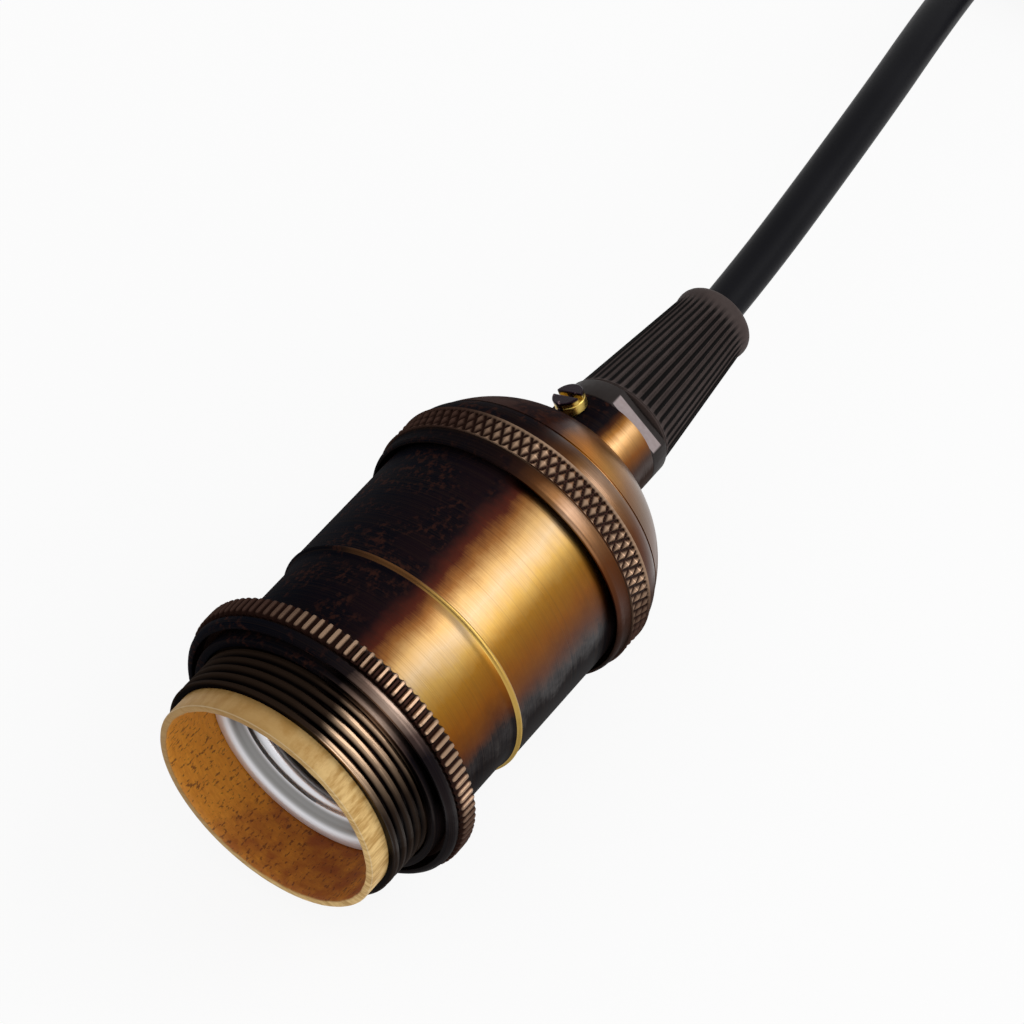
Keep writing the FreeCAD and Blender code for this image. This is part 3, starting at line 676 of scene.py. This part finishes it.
class LAMPHOLDER_OT_ring(bpy.types.Operator):
    """Shade ring with its recess and knurled rim"""

    bl_idname = "lampholder.ring"
    bl_label = "Shade ring"

    def execute(self, context):
        size = sizes()
        low, high = (corner.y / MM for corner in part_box("shade_ring"))
        outer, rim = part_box("shade_ring")[1].z / MM, high - 3.0
        bore, recess, recess_start = 18.15, 18.78, 14.75

        def ribs(turn, y):
            beside = tent(size.ring_ribs * turn / (2 * math.pi))
            return size.rib_depth * min(1.0, max(0.0, (beside - 0.25) / 0.45))

        knurl = [(outer - 0.5 * (2 * k / 12 - 1) ** 8, rim + (high - rim) * k / 12, 1.0) for k in range(13)]
        outline = softened([
            (bore, low), (19.3, low), (19.3, low + 3.0), (20.3, low + 3.0), (20.3, low + 0.8),
            (20.9, low + 0.8), (21.45, low + 1.35), (21.5, rim - 0.35), (21.15, rim - 0.05)], 0.22)
        outline += [(21.15, rim)] + knurl
        outline += softened([(21.0, high), (recess, high),
                             (recess, recess_start), (bore, recess_start)], 0.12)
        finish = aged_brass_with_painted_light("ring brass", RING_TONES,
                            knurl=((rim, high), (outer - size.rib_depth * 0.75, outer - 0.06)))
        ring = lathe("shade_ring_brass", outline, size.ring_ribs * 8, finish, ribs)
        finish_piece(ring, "ring_body", "shade_ring", slot="antique_brass")
        return {"FINISHED"}


class LAMPHOLDER_OT_cap(bpy.types.Operator):
    """Spun cap with its diamond knurl, groove, dome and neck"""

    bl_idname = "lampholder.cap"
    bl_label = "Cap"

    def execute(self, context):
        size = sizes()
        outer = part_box("cap")[1].z / MM

        def diamonds(turn, y):
            across = size.diamonds * turn / (2 * math.pi)
            along = size.diamond_rows * (y - BAND) / (BAND_END - BAND)
            height = min(1 - tent(across + along), 1 - tent(across - along)) * 1.1
            fade = min(1.0, (y - BAND) / 0.3, (BAND_END - y) / 0.3)
            return size.diamond_depth * max(0.0, fade) * max(0.0, 1 - height)

        skirt = softened([(19.85, CAP_LIP), (20.2, CAP_LIP), (20.45, CAP_LIP + 0.5), (20.35, CAP_LIP + 1.5),
                          (20.5, BAND - 0.15)], 0.2)
        band = run((outer, BAND), (outer, BAND_END), 40, share=1.0)
        shoulder = [(20.55, BAND_END + 0.15)] + bowed((20.55, BAND_END + 0.15), (19.5, GROOVE), 0.22, 8)
        groove = [(19.5, GROOVE), (19.28, GROOVE + 0.1), (19.28, GROOVE + 0.22), (19.4, GROOVE + 0.3)]
        dome = bowed((19.4, GROOVE + 0.3), (8.35, NECK), 1.6, 26) + [(8.35, NECK), (NECK_R, NECK + 0.15)]
        cord_hole = 5.05
        neck = softened([(NECK_R, NECK + 0.3), (NECK_R, NECK_END), (cord_hole, NECK_END),
                         (cord_hole, 66.8), (9.0, 66.8), (14.7, 63.8), (18.5, GROOVE - 0.25),
                         (19.5, SHELL_TOP + 0.3), (19.5, 50.6)], 0.15)
        finish = aged_brass_with_painted_light("cap brass", CAP_TONES, dome=DOME_TONES, neck=NECK_TONES,
                            knurl=((BAND, BAND_END), (outer - size.diamond_depth * 0.85, outer - 0.1)))
        cap = lathe("cap_brass", skirt + [(20.55, BAND - 0.02)] + band + shoulder + groove + dome + neck,
                    size.diamonds * 8, finish, diamonds)
        finish_piece(cap, "cap_body", "cap", slot="antique_brass")
        return {"FINISHED"}


class LAMPHOLDER_OT_socket(bpy.types.Operator):
    """Card liner, threaded screw shell and what shows inside it"""

    bl_idname = "lampholder.socket"
    bl_label = "Socket"

    def execute(self, context):
        self.liner()
        self.screw_shell()
        return {"FINISHED"}

    def liner(self):
        outer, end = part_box("liner")[1].z / MM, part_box("liner")[1].y / MM
        inner = outer - 1.1

        def fray(turn, y):
            ragged = mathutils.noise.noise(Vector((9 * math.sin(turn), 9 * math.cos(turn), 0.5 * y)))
            fine = mathutils.noise.noise(Vector((40 * math.sin(turn), 40 * math.cos(turn), y)))
            return 0.10 * ragged + 0.05 * fine

        outline = [(inner, 0.25, 1.0), (inner + 0.12, 0.04, 1.0), (inner + 0.5, 0.0, 0.5),
                   (outer - 0.14, 0.03, 0.3), (outer, 0.2), (outer, 1.5), (outer, end),
                   (inner, end), (inner, 6.0), (inner, 1.2, 0.4)]
        liner = lathe("card_liner", outline, 240, varnished_card(), fray, angle=50.0)
        finish_piece(liner, "liner_body", "liner", slot="card")

    def screw_shell(self):
        size = sizes()
        low, high = (corner.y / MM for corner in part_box("screw_shell"))
        lip, sheet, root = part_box("screw_shell")[1].z / MM, 0.4, 12.3
        start, base = low + 1.6, high - sheet

        def thread(turn, y):
            fade = min(1.0, (y - start) / 1.2, (base - y) / 1.2)
            return -1.2 * max(0.0, fade) * wave((y - start) / size.lamp_lead - turn / (2 * math.pi))

        inside = run((root, start + 0.8), (root, base - 0.4), 84, share=1.0)
        outside = [(root + sheet, y, 1.0) for _, y, _ in reversed(inside)]
        flare = bowed((lip, low), (root + 1.3, start), -0.25, 6)
        outline = [(lip, low)] + flare + [(root + 1.3, start), (root + 0.5, start + 0.45)] + inside + [
            (root, base), (7.0, base), (7.0, high), (root + sheet, high)] + outside + [
            (root + 1.75, start + 0.5), (lip, low + 0.35)]
        shell = lathe("threaded_screw_shell", outline, 180, pressed_aluminium(), thread, angle=60.0)
        finish_piece(shell, "cap_body", "screw_shell", slot="aluminium")


class LAMPHOLDER_OT_grip(bpy.types.Operator):
    """Ribbed nut, flatted collar and slotted set screw"""

    bl_idname = "lampholder.grip"
    bl_label = "Cord grip"

    def execute(self, context):
        size = sizes()
        low, high = (corner.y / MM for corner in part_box("grip_nut"))
        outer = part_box("grip_nut")[1].z / MM
        ribs_start, cone_end = low + 0.25, high - 4.6

        def ribs(turn, y):
            fade = min(1.0, (y - ribs_start) / 0.4, (cone_end + 0.6 - y) / 2.5)
            return 0.5 * max(0.0, fade) * tent(size.grip_ribs * turn / (2 * math.pi) + 0.5) ** 1.3

        cone = run((outer - 0.15, ribs_start), (5.75, cone_end), 24, share=1.0)
        end = high - 1.5
        dome = bowed((5.73, cone_end + 0.2), (4.1, end), 0.85, 8)
        outline = softened([(5.9, low), (outer - 0.3, low), (outer - 0.2, ribs_start - 0.08)], 0.1) + cone
        outline += [(5.73, cone_end + 0.2)] + dome
        outline += [(4.1, end), (3.8, end - 0.1), (3.75, end - 0.5), (4.0, 97.7), (5.9, 88.7)]
        plastic = ribbed_plastic(colours().plastic, size.grip_ribs)
        nut = lathe("ribbed_nut", outline, size.grip_ribs * 12, plastic, ribs, angle=60.0)
        finish_piece(nut, "grip_nut_body", "grip_nut", slot="black_plastic")
        dress_node("grip_body", collar_plastic(colours().plastic), soften=0.15)
        self.set_screw()
        return {"FINISHED"}

    def set_screw(self):
        """Cheese head with its slot, on a shank through the neck."""
        turn = math.radians(SET_SCREW_TURN)
        way, along = Vector((math.sin(turn), 0.0, math.cos(turn))), Vector((0.0, 1.0, 0.0))
        across = way.cross(along)
        low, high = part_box("set_screw")
        seat = Vector((0.0, (low.y + high.y) / 2 / MM, 0.0)) + way * SET_SEAT_R
        shank, slot, depth = 1.45, 0.38, 0.9
        points, faces = [], []

        def slab(corners, start, end):
            first, count = len(points), len(corners)
            for height in (start, end):
                points.extend(tuple((seat + way * height + along * u + across * v) * MM)
                              for u, v in corners)
            faces.append(tuple(first + k for k in reversed(range(count))))
            faces.append(tuple(first + count + k for k in range(count)))
            for k in range(count):
                after = (k + 1) % count
                faces.append((first + k, first + after, first + count + after, first + count + k))

        def arc(radius, turns):
            return [(radius * math.cos(turn), -radius * math.sin(turn)) for turn in turns]

        def disc(radius):
            return arc(radius, [2 * math.pi * k / 64 for k in range(64)])

        slab(disc(shank), -4.0, 0.05)
        slab(disc(SET_HEAD_R), 0.0, SET_HEAD_HEIGHT - depth)
        reach = math.acos(slot / SET_HEAD_R)
        for side in (0.0, math.pi):
            half = arc(SET_HEAD_R, [side + reach * (k / 16 - 1) for k in range(33)])
            slab(half, SET_HEAD_HEIGHT - depth - 0.05, SET_HEAD_HEIGHT)
        finish = screw_brass(way, SET_SEAT_R + SET_HEAD_HEIGHT)
        screw = mesh_piece("set_screw_brass", points, faces, finish, angle=30.0)
        bevel = screw.modifiers.new("broken edges", "BEVEL")
        bevel.width, bevel.segments = 0.15 * MM, 2
        bevel.limit_method, bevel.angle_limit = "ANGLE", math.radians(50)
        finish_piece(screw, "set_screw_body", "set_screw", slot="antique_brass")


class LAMPHOLDER_OT_interior(bpy.types.Operator):
    """Finishes of the parts inside the shell and the cap"""

    bl_idname = "lampholder.interior"
    bl_label = "Interior"

    def execute(self, context):
        brass, steel = bright_brass(), zinc_steel()
        for name in ("centre_contact", "centre_terminal", "side_terminal", "centre_terminal_screw",
                     "side_terminal_screw", "earth_screw", "side_rivet", "shell_rivet"):
            dress_node(name, brass, soften=0.08)
        for name in ("strap", "strap_screw_lower", "strap_screw_upper", "lock_nut"):
            dress_node(name, steel, soften=0.1)
        dress_node("insulator", glazed_porcelain(), soften=0.2)
        dress_node("grip_collet", moulded_plastic("nylon", (0.70, 0.69, 0.66)))
        dress_node("live_core", core_sheath("brown"))
        dress_node("neutral_core", core_sheath("blue"))
        dress_node("earth_core", core_sheath("green"))
        return {"FINISHED"}


CORE_COLOURS = {"brown": (0.12, 0.045, 0.02), "blue": (0.02, 0.08, 0.32), "green": (0.10, 0.28, 0.02)}


def core_sheath(colour):
    return cord_sheath(f"{colour} core", CORE_COLOURS[colour])


class LAMPHOLDER_OT_cord(bpy.types.Operator):
    """Cord from the grip to its tied hank and bare end"""

    bl_idname = "lampholder.cord"
    bl_label = "Cord"

    start = (0.0, 78.5, 0.0)
    route = [(0.0, 103.0, 0.0), (-4.3, 148.0, 0.0), (-9.5, 178.0, -4.0), (-15.5, 204.0, -14.5),
             (-21.5, 222.0, -19.0)]
    middle = (4.05, 253.0)
    run, fold, spacing = 48.0, 22.4, 6.3
    low, high = -19.0, -12.8
    tail_start = 6.0
    core_end, copper_start, copper_end = 14.0, 13.5, 19.0
    core_radius, copper_radius, core_offset = 1.1, 0.5, 1.35

    def execute(self, context):
        size = sizes()
        diameter = size.cord_diameter
        points = [self.start, *self.route, *self.hank()]
        line = bpy.data.curves.new("cord_line", "CURVE")
        line.dimensions = "3D"
        line.bevel_depth, line.bevel_resolution = diameter / 2, 7
        line.use_fill_caps = True
        spline = line.splines.new("NURBS")
        spline.points.add(len(points) - 1)
        for point, place in zip(spline.points, points):
            point.co = (*(Vector(place) * MM), 1.0)
        spline.order_u = 3
        spline.use_endpoint_u = True
        spline.resolution_u = 12
        line.materials.append(cord_sheath("cord sheath", colours().cord))
        cord = bpy.data.objects.new("cord_line", line)
        bpy.context.scene.collection.objects.link(cord)
        finish_piece(cord, "cap_body", "cord", "cord_coil", slot="cord_pvc")
        tail = self.tail(points[-1])
        dress_node("coil_tie", moulded_plastic("tie plastic", (0.03, 0.03, 0.03)))
        return {"FINISHED"}

    def hank(self):
        """Two turns side by side on the floor and two on top of them, six points to a fold."""
        outer, inner = self.fold + self.spacing / 2, self.fold - self.spacing / 2
        # Each fold: its radius and height where it starts and where it ends, the far folds and the
        # near ones by turns.
        folds = [(outer, self.low, outer, self.low), (outer, self.low, inner, self.low),
                 (inner, self.low, inner, self.low), (inner, self.low, inner, self.high),
                 (inner, self.high, inner, self.high), (inner, self.high, outer, self.high),
                 (outer, self.high, outer, self.high)]
        x, y = self.middle
        places = []
        for k, (before, z_before, after, z_after) in enumerate(folds):
            way = -1 if k % 2 else 1
            for corner, across, along in ((0.0, -1.0, -0.41), (0.15, -1.0, 0.41), (0.4, -0.41, 1.0),
                                          (0.6, 0.41, 1.0), (0.85, 1.0, 0.41), (1.0, 1.0, -0.41)):
                radius = before + (after - before) * corner
                places.append((x + way * across * radius, y + way * (self.run / 2 + along * radius),
                               z_before + (z_after - z_before) * corner))
        places.append((x + outer, y + self.tail_start, self.high))
        return places

    def tail(self, end):
        """The three cores of the stripped end and their copper tips."""
        way, out = Vector((0.0, -1.0, 0.0)), Vector((1.0, 0.0, 0.0))
        pieces = []
        copper = bare_copper()
        for k, colour in enumerate(CORE_COLOURS):
            turn = 2 * math.pi * k / 3
            offset = (out * math.cos(turn) + Vector((0, 0, 1)) * math.sin(turn)) * self.core_offset
            root = Vector(end) + offset
            core = self.rod(f"{colour}_tail", root - way, root + way * self.core_end,
                            self.core_radius, core_sheath(colour))
            tip = self.rod(f"{colour}_copper", root + way * self.copper_start, root + way * self.copper_end,
                           self.copper_radius, copper)
            finish_piece(core, "cap_body", "cord_tail", slot="cord_cores")
            finish_piece(tip, "cap_body", slot="cord_cores")
            pieces += [core, tip]
        return pieces

    def rod(self, name, start, end, radius, material):
        way = (end - start).normalized()
        side = way.orthogonal().normalized()
        other = way.cross(side)
        sides = 20
        turns = [2 * math.pi * k / sides for k in range(sides)]
        ring = [side * math.cos(turn) + other * math.sin(turn) for turn in turns]
        ends = [(start, 0.85), (start + way * 0.15, 1.0), (end - way * 0.15, 1.0), (end, 0.85)]
        points = [(place + spoke * radius * share) * MM for place, share in ends for spoke in ring]
        faces = [(sides * j + k, sides * j + (k + 1) % sides,
                  sides * (j + 1) + (k + 1) % sides, sides * (j + 1) + k)
                 for j in range(3) for k in range(sides)]
        faces += [tuple(reversed(range(sides))), tuple(range(3 * sides, 4 * sides))]
        return mesh_piece(name, points, faces, material)


class LAMPHOLDER_OT_stage(bpy.types.Operator):
    """Pale floor, white surroundings, soft lights and the camera"""

    bl_idname = "lampholder.stage"
    bl_label = "Stage"

    azimuth, elevation = 35.7, 50.6
    aim = (8.5, 41.7, 23.7)
    distance = 505.0
    lens = 140.6

    def execute(self, context):
        self.floor(half=2.0)
        self.world()
        self.lamp("key softbox", (0.569, 0.515, 0.641), distance=0.75, size=(0.42, 0.60), power=1.9)
        self.lamp("side softbox", (0.85, -0.35, 0.40), distance=0.9, size=(0.5, 0.5), power=1.2)
        self.camera()
        return {"FINISHED"}

    def floor(self, half):
        z = CAD_BOUNDS[0].z
        paint = Paint("floor", roughness=0.9)
        paint.set("Base Color", (0.92, 0.92, 0.92))
        surface = Signal(paint, paint.shader.outputs[0])
        glow = paint.node("ShaderNodeEmission", {}, {"Color": (1.0, 1.0, 1.0), "Strength": 1.0})
        mixed = paint.node("ShaderNodeMixShader", {}, {0: paint.seen() * 0.9, 1: surface, 2: glow})
        paint.plug(paint.tree.nodes["Material Output"].inputs["Surface"], mixed)
        points = [(-half, -half, z), (half, -half, z), (half, half, z), (-half, half, z)]
        mesh_piece("floor", points, [(0, 1, 2, 3)], paint.material)

    def world(self):
        world = bpy.data.worlds.new("white studio")
        world.use_nodes = True
        sky = Tree(world.node_tree)
        background = sky.tree.nodes["Background"]
        sky.plug(background.inputs["Color"], (1.0, 1.0, 1.0))
        sky.plug(background.inputs["Strength"], sky.seen() * 0.45 + 0.55)
        bpy.context.scene.world = world

    def lamp(self, name, direction, distance, size, power):
        light = bpy.data.lights.new(name, "AREA")
        light.shape = "RECTANGLE"
        light.size, light.size_y = size
        light.energy = power
        lamp = bpy.data.objects.new(name, light)
        way = Vector(direction).normalized()
        lamp.location = Vector((0.0, 0.04, 0.0)) + way * distance
        lamp.rotation_euler = way.to_track_quat("Z", "Y").to_euler()
        bpy.context.scene.collection.objects.link(lamp)

    def camera(self):
        side, rise = math.radians(self.azimuth), math.radians(self.elevation)
        away = Vector((math.sin(side) * math.cos(rise), -math.cos(side) * math.cos(rise), math.sin(rise)))
        view = bpy.data.cameras.new("camera")
        view.lens, view.sensor_width = self.lens, 36.0
        view.clip_start, view.clip_end = 0.01, 20.0
        camera = bpy.data.objects.new("camera", view)
        camera.location = (Vector(self.aim) + away * self.distance) * MM
        camera.rotation_euler = (math.pi / 2 - rise, 0.0, side)
        bpy.context.scene.collection.objects.link(camera)
        bpy.context.scene.camera = camera
        bpy.context.scene.view_settings.view_transform = "Standard"


class LAMPHOLDER_PT_panel(bpy.types.Panel):
    """Buttons for the pieces of the lamp holder"""

    bl_label = "Lamp holder"
    bl_space_type = "VIEW_3D"
    bl_region_type = "UI"
    bl_category = "Lamp holder"

    def draw(self, context):
        for operator in OPERATORS:
            self.layout.operator(operator.bl_idname)
        for group in (sizes(), colours()):
            for name in group.__annotations__:
                self.layout.prop(group, name)


OPERATORS = (LAMPHOLDER_OT_stage, LAMPHOLDER_OT_cord, LAMPHOLDER_OT_shell, LAMPHOLDER_OT_ring,
             LAMPHOLDER_OT_cap, LAMPHOLDER_OT_socket, LAMPHOLDER_OT_grip, LAMPHOLDER_OT_interior)
CLASSES = (HolderSizes, HolderColours, *OPERATORS, LAMPHOLDER_PT_panel)


def register():
    for item in CLASSES:
        bpy.utils.register_class(item)
    bpy.types.Scene.holder_sizes = bpy.props.PointerProperty(type=HolderSizes)
    bpy.types.Scene.holder_colours = bpy.props.PointerProperty(type=HolderColours)


def unregister():
    del bpy.types.Scene.holder_colours
    del bpy.types.Scene.holder_sizes
    for item in reversed(CLASSES):
        bpy.utils.unregister_class(item)


def main():
    register()
    for operator in OPERATORS:
        group, name = operator.bl_idname.split(".")
        getattr(getattr(bpy.ops, group), name)()


if __name__ == "__main__":
    main()
